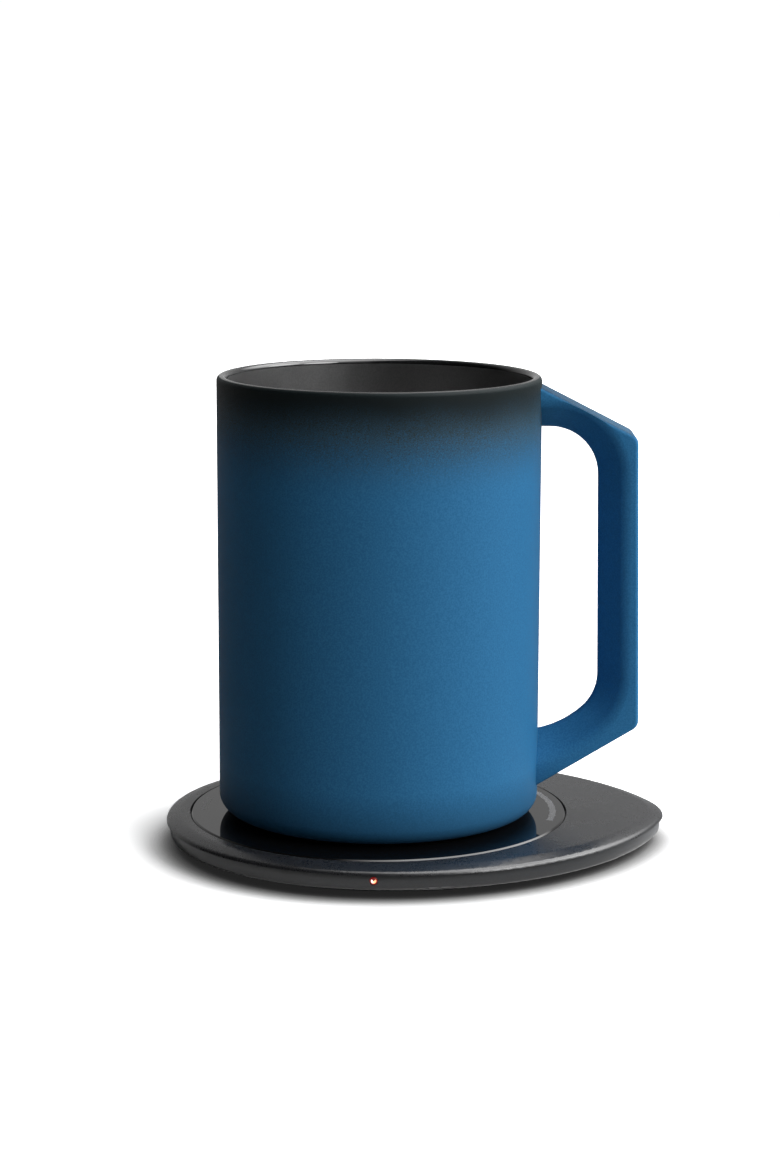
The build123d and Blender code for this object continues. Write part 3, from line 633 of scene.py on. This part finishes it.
def latheTree():
    lengths = ("Radius", "Rim Wall", "Rim Round", "Bowl Radius", "Bowl Floor", "Bowl Round",
               "Foot", "Foot Round", "Rim", "Pocket Radius", "Pocket Top")
    coats = ("Material", "Bowl Material", "Lip Material", "Floor Material")
    sockets = {**dict.fromkeys(lengths, "Float"), "Segments": "Int", "Arc Steps": "Int"}
    tree, given, output = startTree("mugLathe", {**sockets, **dict.fromkeys(coats, "Material")})
    size = given.outputs
    core = mugLook["core"]
    rimInner = mathNode(tree, "SUBTRACT", size["Radius"], size["Rim Wall"])

    def corner(radius, height):
        # the circle's frame points down, so heights are turned over
        turnedOver = mathNode(tree, "MULTIPLY", height, -1.0)
        return combine(tree, mathNode(tree, "SUBTRACT", radius, core), turnedOver)

    # each corner of the half section with the radius of its round
    corners = [
        (corner(0.0, size["Pocket Top"]), 0.0),
        (corner(size["Pocket Radius"], size["Pocket Top"]), 0.0),
        (corner(size["Pocket Radius"], size["Foot"]), 0.0),
        (corner(size["Radius"], size["Foot"]), size["Foot Round"]),
        (corner(size["Radius"], size["Rim"]), size["Rim Round"]),
        (corner(rimInner, size["Rim"]), size["Rim Round"]),
        (corner(size["Bowl Radius"], size["Bowl Floor"]), size["Bowl Round"]),
        (corner(0.0, size["Bowl Floor"]), 0.0),
    ]
    places = indexSwitch(tree, "VECTOR", [place for place, cornerRound in corners])
    points = addNode(tree, "GeometryNodePoints", {"Count": len(corners), "Position": places})
    line = addNode(tree, "GeometryNodePointsToCurves", {"Points": points.outputs[0]})
    rounds = indexSwitch(tree, "FLOAT", [cornerRound for place, cornerRound in corners])
    section = addNode(tree, "GeometryNodeFilletCurve", {
        "Curve": line.outputs[0], "Radius": rounds, "Limit Radius": True,
    }, mode="POLY")
    tree.links.new(size["Arc Steps"], section.inputs["Count"])
    circle = addNode(tree, "GeometryNodeCurvePrimitiveCircle", {
        "Resolution": size["Segments"], "Radius": core,
    })
    body = addNode(tree, "GeometryNodeCurveToMesh", {
        "Curve": circle.outputs[0], "Profile Curve": section.outputs[0],
    })
    closed = addNode(tree, "GeometryNodeMergeByDistance", {
        "Geometry": body.outputs[0], "Distance": mugLook["mergeDistance"],
    })
    angle = addNode(tree, "GeometryNodeInputMeshEdgeAngle")
    gentle = addNode(tree, "FunctionNodeCompare", {
        0: angle.outputs["Unsigned Angle"], 1: math.radians(mugLook["creaseAngle"]),
    }, data_type="FLOAT", operation="LESS_THAN")
    faces = addNode(tree, "GeometryNodeSetShadeSmooth", {
        "Geometry": closed.outputs[0], "Shade Smooth": True,
    }, domain="FACE")
    edges = addNode(tree, "GeometryNodeSetShadeSmooth", {
        "Geometry": faces.outputs[0], "Shade Smooth": gentle.outputs[0],
    }, domain="EDGE")
    realized = addNode(tree, "GeometryNodeRealizeInstances", {0: edges.outputs[0]}).outputs[0]

    # what lies inside the middle of the lip, above the pocket
    place = tree.nodes.new("GeometryNodeInputPosition").outputs[0]
    split = addNode(tree, "ShaderNodeSeparateXYZ", {0: place})
    height = split.outputs[2]
    across = combine(tree, split.outputs[0], split.outputs[1], 0.0)
    reach = addNode(tree, "ShaderNodeVectorMath", {0: across}, operation="LENGTH").outputs["Value"]
    lipMiddle = mathNode(tree, "MULTIPLY_ADD", size["Rim Wall"], -0.5, size["Radius"])
    pocketSkin = mathNode(tree, "ADD", size["Pocket Top"], mugLook["overPocket"])
    aboveFloor = mathNode(tree, "GREATER_THAN", height, pocketSkin)
    inside = mathNode(tree, "MULTIPLY", mathNode(tree, "LESS_THAN", reach, lipMiddle), aboveFloor)
    # the lip's top and its round into the bowl are polished, and the bowl's wall below them shines softly
    lipTop = mathNode(tree, "MULTIPLY_ADD", size["Rim Round"], -mugLook["lipTopShare"], size["Rim"])
    onLip = mathNode(tree, "MAXIMUM", inside, mathNode(tree, "GREATER_THAN", height, lipTop))
    roundEnd = mathNode(tree, "SUBTRACT", size["Rim"], size["Rim Round"])
    onWall = mathNode(tree, "MULTIPLY", inside, mathNode(tree, "LESS_THAN", height, roundEnd))
    # the floor and the lower half of its round stay matt
    floorShare = mugLook["floorRoundShare"]
    floorEnd = mathNode(tree, "MULTIPLY_ADD", size["Bowl Round"], floorShare, size["Bowl Floor"])
    onFloor = mathNode(tree, "MULTIPLY", inside, mathNode(tree, "LESS_THAN", height, floorEnd))
    glazed = coat(tree, realized, size["Material"])
    tipped = coat(tree, glazed, size["Lip Material"], onLip)
    lined = coat(tree, tipped, size["Bowl Material"], onWall)
    tree.links.new(coat(tree, lined, size["Floor Material"], onFloor), output.inputs[0])
    return tree


mugBody = newPiece("mugBody", bpy.data.meshes.new("mugBody"))
runTree(mugBody, latheTree(), mugLook, {
    "Foot": mugFoot, "Rim": mugRim,
    "Material": finishes["mug_glaze"], "Bowl Material": finishes["bowl_glaze"],
    "Lip Material": finishes["lip_glaze"], "Floor Material": finishes["bowl_floor_glaze"],
})
faceOutwards(mugBody.data)
settle(mugBody, "mug", "mug_glaze", "mug_shell")
print("mug turned:", len(mugBody.data.polygons), "faces")


# Printed dashes on the glass, in short arcs near its edge

dashLook = {
    "radius": 44.0 * mm, "length": 1.5 * mm, "width": 0.20 * mm, "height": 0.012 * mm,
    "longEvery": 5.0, "longShare": 1.2,                # which dashes are longer, and how many times
    "arcs": [(-14.0, 1.15, 35), (168.0, 1.15, 13)],    # first angle, step and number of dashes
}


def dashTree():
    tree, given, output = startTree("glassDashes", {
        "Radius": "Float", "Length": "Float", "Width": "Float", "Height": "Float", "Long Every": "Float",
        "Long Share": "Float", "Level": "Float", "First Angle": "Float", "Step": "Float", "Count": "Int",
        "Material": "Material",
    })
    size = given.outputs
    index = tree.nodes.new("GeometryNodeInputIndex").outputs[0]
    angle = mathNode(tree, "MULTIPLY_ADD", index, size["Step"], size["First Angle"])
    # the longer dashes are the first one and those a multiple of "Long Every" after it
    isLong = mathNode(tree, "LESS_THAN", mathNode(tree, "MODULO", index, size["Long Every"]), 0.5)
    extra = mathNode(tree, "MULTIPLY", isLong, mathNode(tree, "SUBTRACT", size["Long Share"], 1.0))
    stretch = mathNode(tree, "ADD", 1.0, extra)
    place = combine(tree,
                    mathNode(tree, "MULTIPLY", size["Radius"], mathNode(tree, "COSINE", angle)),
                    mathNode(tree, "MULTIPLY", size["Radius"], mathNode(tree, "SINE", angle)),
                    mathNode(tree, "ADD", size["Level"], mathNode(tree, "MULTIPLY", size["Height"], 0.5)))
    points = addNode(tree, "GeometryNodePoints", {"Count": size["Count"], "Position": place})
    dash = addNode(tree, "GeometryNodeMeshCube", {
        "Size": combine(tree, size["Length"], size["Width"], size["Height"]),
    })
    placed = addNode(tree, "GeometryNodeInstanceOnPoints", {
        "Points": points.outputs[0], "Instance": dash.outputs[0],
        "Rotation": combine(tree, 0.0, 0.0, angle), "Scale": combine(tree, stretch, 1.0, 1.0),
    })
    finishTree(tree, placed.outputs[0], size["Material"], output)
    return tree


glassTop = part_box("glass_plate")[1].z
dashes = dashTree()
for number, (firstAngle, step, count) in enumerate(dashLook["arcs"]):
    arc = newPiece(f"glassDashes{number + 1}", bpy.data.meshes.new(f"glassDashes{number + 1}"))
    runTree(arc, dashes, dashLook, {
        "Level": glassTop, "First Angle": math.radians(firstAngle), "Step": math.radians(step),
        "Count": count, "Material": finishes["printed_ink"],
    })
    settle(arc, "base", "black_glass")
print("dashes printed on the glass")


# Contacts in the power socket, in two rows on its tongue

contactLook = {
    "count": 12, "pitch": 0.5 * mm, "width": 0.25 * mm, "length": 5.0 * mm, "height": 0.03 * mm,
    "fromMouth": 1.2 * mm,    # from the outer end of the tongue
}


def contactTree():
    tree, given, output = startTree("socketContacts", {
        "Count": "Int", "Pitch": "Float", "Width": "Float", "Length": "Float", "Height": "Float",
        "Middle": "Vector", "Half Gap": "Float", "Material": "Material",
    })
    size = given.outputs
    index = tree.nodes.new("GeometryNodeInputIndex").outputs[0]
    # the first row lies on top of the tongue, at 1, and the second under it, at -1
    inFirst = mathNode(tree, "LESS_THAN", index, size["Count"])
    side = mathNode(tree, "SUBTRACT", mathNode(tree, "MULTIPLY", inFirst, 2.0), 1.0)
    number = mathNode(tree, "MODULO", index, size["Count"])
    middle = mathNode(tree, "MULTIPLY", mathNode(tree, "SUBTRACT", size["Count"], 1.0), 0.5)
    shift = combine(tree,
                    mathNode(tree, "MULTIPLY", mathNode(tree, "SUBTRACT", number, middle), size["Pitch"]),
                    0.0,
                    mathNode(tree, "MULTIPLY", side, size["Half Gap"]))
    place = addNode(tree, "ShaderNodeVectorMath", {0: size["Middle"], 1: shift}, operation="ADD")
    points = addNode(tree, "GeometryNodePoints", {
        "Count": mathNode(tree, "MULTIPLY", size["Count"], 2.0), "Position": place.outputs[0],
    })
    contact = addNode(tree, "GeometryNodeMeshCube", {
        "Size": combine(tree, size["Width"], size["Length"], size["Height"]),
    })
    placed = addNode(tree, "GeometryNodeInstanceOnPoints", {
        "Points": points.outputs[0], "Instance": contact.outputs[0],
    })
    finishTree(tree, placed.outputs[0], size["Material"], output)
    return tree


tongueLow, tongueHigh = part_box("usb_socket_tongue")
contacts = newPiece("socketContacts", bpy.data.meshes.new("socketContacts"))
runTree(contacts, contactTree(), contactLook, {
    "Middle": ((tongueLow.x + tongueHigh.x) / 2,
               tongueHigh.y - contactLook["fromMouth"] - contactLook["length"] / 2,
               (tongueLow.z + tongueHigh.z) / 2),
    "Half Gap": (tongueHigh.z - tongueLow.z + contactLook["height"]) / 2,
    "Material": finishes["tinned_brass"],
})
settle(contacts, "base", "tinned_brass")
print("socket contacts set")


# Anti slip pad: its underside stands on rows of small round feet

padLook = {
    "feetHeight": 0.25 * mm, "feetRadius": 0.85 * mm, "tipShare": 0.8, "sides": 12,
    "pitch": 3.4 * mm, "middle": (9.4 * mm, 0.6 * mm),
    "marginShare": 0.955,                                # the feet keep to this share of the pad
    "searchFrom": 1.0 * mm, "searchReach": 10.0 * mm,    # rays start this far under the pad
}


def padTree():
    tree, given, output = startTree("padFeet", {
        "Feet Height": "Float", "Feet Radius": "Float", "Pitch": "Float", "Margin Share": "Float",
        "Sides": "Int", "Span": "Float", "Material": "Material",
    })
    size = given.outputs
    place = tree.nodes.new("GeometryNodeInputPosition").outputs[0]
    split = addNode(tree, "ShaderNodeSeparateXYZ", {0: place})
    lifted = combine(tree, split.outputs[0], split.outputs[1],
                     mathNode(tree, "MAXIMUM", split.outputs[2], size["Feet Height"]))
    slab = addNode(tree, "GeometryNodeSetPosition", {
        "Geometry": size["Geometry"], "Position": lifted,
    }).outputs[0]
    rows = mathNode(tree, "FLOOR", mathNode(tree, "DIVIDE", size["Span"], size["Pitch"]))
    grid = addNode(tree, "GeometryNodeMeshGrid", {
        "Size X": size["Span"], "Size Y": size["Span"], "Vertices X": rows, "Vertices Y": rows,
    })
    # a foot stands where a ray from below meets the slab, a little way in from its edge
    inner = addNode(tree, "GeometryNodeTransform", {
        "Geometry": slab, "Scale": combine(tree, size["Margin Share"], size["Margin Share"], 1.0),
    })
    below = addNode(tree, "GeometryNodeSetPosition", {
        "Geometry": grid.outputs[0], "Offset": (*padLook["middle"], -padLook["searchFrom"]),
    })
    hit = addNode(tree, "GeometryNodeRaycast", {
        "Target Geometry": inner.outputs[0], "Ray Direction": (0.0, 0.0, 1.0),
        "Ray Length": padLook["searchReach"],
    })
    missed = addNode(tree, "FunctionNodeBooleanMath", {0: hit.outputs["Is Hit"]}, operation="NOT")
    kept = addNode(tree, "GeometryNodeDeleteGeometry", {
        "Geometry": below.outputs[0], "Selection": missed.outputs[0],
    }, domain="POINT")
    rise = mathNode(tree, "MULTIPLY_ADD", size["Feet Height"], 0.5, padLook["searchFrom"])
    raised = addNode(tree, "GeometryNodeSetPosition", {
        "Geometry": kept.outputs[0], "Offset": combine(tree, 0.0, 0.0, rise),
    })
    foot = addNode(tree, "GeometryNodeMeshCone", {
        "Vertices": size["Sides"], "Radius Top": size["Feet Radius"], "Depth": size["Feet Height"],
        "Radius Bottom": mathNode(tree, "MULTIPLY", size["Feet Radius"], padLook["tipShare"]),
    })
    # the cone starts at its bottom, and a foot is placed by its middle
    halfDown = mathNode(tree, "MULTIPLY", size["Feet Height"], -0.5)
    centred = addNode(tree, "GeometryNodeTransform", {
        "Geometry": foot.outputs[0], "Translation": combine(tree, 0.0, 0.0, halfDown),
    })
    feet = addNode(tree, "GeometryNodeInstanceOnPoints", {
        "Points": raised.outputs[0], "Instance": centred.outputs[0],
    })
    joined = addNode(tree, "GeometryNodeJoinGeometry")
    tree.links.new(slab, joined.inputs[0])
    tree.links.new(feet.outputs[0], joined.inputs[0])
    finishTree(tree, joined.outputs[0], size["Material"], output)
    return tree


padLow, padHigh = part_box("anti_slip_pad")
pad = newPiece("gripPad", joinedCopy("anti_slip_pad"))
runTree(pad, padTree(), padLook, {"Span": padHigh.x - padLow.x, "Material": finishes["silicone_pad"]})
settle(pad, "base", "silicone_pad", "anti_slip_pad")
print("pad feet:", len(pad.data.polygons), "faces")


# Floor, light and camera

floorLook = {
    "size": 6.0, "bounce": (0.42, 0.42, 0.42), "palest": 1.02, "grainScale": 40,
    "nearWhite": 1.6, "nearRadius": (105 * mm, 150 * mm),        # what gloss sees, and where it turns grey
    "seen": 1.5, "glow": 0.95,                                   # what the camera sees
    "contactReach": 16 * mm, "contactSamples": 16,               # shadow where the object stands
    "contactPower": (3.6, 1.9), "contactSide": 50 * mm, "contactTone": 0.016,
}


def floorFinish(look):
    # grey for the light that it throws back, and white with the object's shadow for the camera
    material, tree, shader, coordinates = startMaterial("studio_floor")
    grain = noise(tree, coordinates, look["grainScale"])
    grey = mixColour(tree, grain, look["bounce"], tuple(c * look["palest"] for c in look["bounce"]))
    plain = addNode(tree, "ShaderNodeBsdfDiffuse", {"Color": grey})
    # gloss sees the white table round the object
    away = addNode(tree, "ShaderNodeVectorMath", {0: coordinates}, operation="LENGTH").outputs["Value"]
    lit = mapRange(tree, away, *look["nearRadius"], look["nearWhite"], look["bounce"][0], smooth=True)
    table = addNode(tree, "ShaderNodeBsdfDiffuse", {"Color": combine(tree, lit, lit, lit)})
    near = addNode(tree, "ShaderNodeAmbientOcclusion", {
        "Distance": look["contactReach"],
    }, samples=look["contactSamples"]).outputs["AO"]
    # the shadow is deeper on the side away from the handle and the lamps
    across = addNode(tree, "ShaderNodeSeparateXYZ", {0: coordinates}).outputs[0]
    power = mapRange(tree, across, -look["contactSide"], look["contactSide"], *look["contactPower"])
    openness = mathNode(tree, "POWER", near, power)
    white = mathNode(tree, "MULTIPLY", openness, look["seen"])
    bright = addNode(tree, "ShaderNodeBsdfDiffuse", {"Color": combine(tree, white, white, white)})
    glow = mathNode(tree, "MULTIPLY_ADD", openness, look["glow"], look["contactTone"])
    tone = addNode(tree, "ShaderNodeEmission", {"Color": (1, 1, 1, 1), "Strength": glow})
    shown = addNode(tree, "ShaderNodeAddShader", {0: bright.outputs[0], 1: tone.outputs[0]})
    path = tree.nodes.new("ShaderNodeLightPath")
    glossy = addNode(tree, "ShaderNodeMixShader", {
        0: path.outputs["Is Glossy Ray"], 1: plain.outputs[0], 2: table.outputs[0],
    })
    mixed = addNode(tree, "ShaderNodeMixShader", {
        0: path.outputs["Is Camera Ray"], 1: glossy.outputs[0], 2: shown.outputs[0],
    })
    tree.links.new(mixed.outputs[0], tree.nodes["Material Output"].inputs["Surface"])
    tree.nodes.remove(shader)
    return material


floorMesh = bpy.data.meshes.new("studioFloor")
half = floorLook["size"] / 2
floorCorners = [(-half, -half, 0), (half, -half, 0), (half, half, 0), (-half, half, 0)]
floorMesh.from_pydata(floorCorners, [], [(0, 1, 2, 3)])
floorMesh.materials.append(floorFinish(floorLook))
floor = newPiece("studioFloor", floorMesh)

worldLook = {
    "ambient": 0.02, "seen": 1.0,
    "behind": (0.22, 0.97, 0.0), "behindEdges": (0.0, 0.60), "behindMirrored": 0.44,
    "overhead": (0.528, 0.046, 0.848), "overheadEdges": (0.62, 0.95), "overheadMirrored": 7.0,
}
world = bpy.data.worlds.new("studioWorld")
world.use_nodes = True
scene.world = world
backdrop = world.node_tree
backdrop.nodes.clear()
path = backdrop.nodes.new("ShaderNodeLightPath")
direction = backdrop.nodes.new("ShaderNodeTexCoord").outputs["Generated"]


def paleRegion(middle, edges, strength):
    # a bright part of the room, which fades with the cosine of the angle from its middle
    facing = addNode(backdrop, "ShaderNodeVectorMath", {0: direction, 1: middle}, operation="DOT_PRODUCT")
    return mapRange(backdrop, facing.outputs["Value"], *edges, 0, strength, smooth=True)


# gloss sees a pale wall behind the object, a soft box over the handle's side, and a dim room elsewhere
wall = paleRegion(worldLook["behind"], worldLook["behindEdges"], worldLook["behindMirrored"])
softBox = paleRegion(worldLook["overhead"], worldLook["overheadEdges"], worldLook["overheadMirrored"])
room = mathNode(backdrop, "ADD", wall, softBox)
mirrored = mathNode(backdrop, "MAXIMUM", path.outputs["Is Glossy Ray"], path.outputs["Is Transmission Ray"])
strength = mathNode(backdrop, "MULTIPLY_ADD", mirrored, room, worldLook["ambient"])
strength = mathNode(backdrop, "MULTIPLY_ADD", path.outputs["Is Camera Ray"], worldLook["seen"], strength)
sky = addNode(backdrop, "ShaderNodeBackground", {"Color": (1, 1, 1, 1), "Strength": strength})
skyOut = backdrop.nodes.new("ShaderNodeOutputWorld")
backdrop.links.new(sky.outputs[0], skyOut.inputs["Surface"])

lampLooks = {
    "sideLight": {"azimuth": 95, "elevation": 12, "spread": 60, "strength": 2.0, "inGloss": False},
    "keyLight": {"azimuth": 50, "elevation": 30, "spread": 26, "strength": 1.8},
    "frontLight": {"azimuth": 21, "elevation": 36, "spread": 26, "strength": 0.15},
    "handleLight": {"azimuth": 88, "elevation": 32, "spread": 26, "strength": 0.95},
}
for name, look in lampLooks.items():
    # azimuth is counted from the camera's side towards the handle
    lamp = bpy.data.lights.new(name, "SUN")
    lamp.energy = look["strength"]
    lamp.angle = math.radians(look["spread"])
    lampPiece = newPiece(name, lamp)
    lampPiece.rotation_euler = (math.radians(90 - look["elevation"]), 0, math.radians(look["azimuth"]))
    # the low side light would whiten the cover when seen from the far side
    lampPiece.visible_glossy = look.get("inGloss", True)

cameraLook = {
    "place": (0.00278, -0.67658, 0.19126), "lens": 85, "film": 36, "pitch": 10.52, "roll": 0.17,
    "clipStart": 10 * mm,
}
camera = bpy.data.cameras.new("studioCamera")
camera.lens = cameraLook["lens"]
camera.sensor_fit = "VERTICAL"
camera.sensor_height = cameraLook["film"]
camera.sensor_width = cameraLook["film"]
camera.clip_start = cameraLook["clipStart"]
cameraPiece = newPiece("studioCamera", camera)
tilt = Matrix.Rotation(math.radians(90 - cameraLook["pitch"]), 4, "X")
roll = Matrix.Rotation(math.radians(cameraLook["roll"]), 4, "Z")
cameraPiece.matrix_world = Matrix.Translation(cameraLook["place"]) @ tilt @ roll
scene.camera = cameraPiece
scene.view_settings.view_transform = "Standard"
print("stage, lights and camera set")
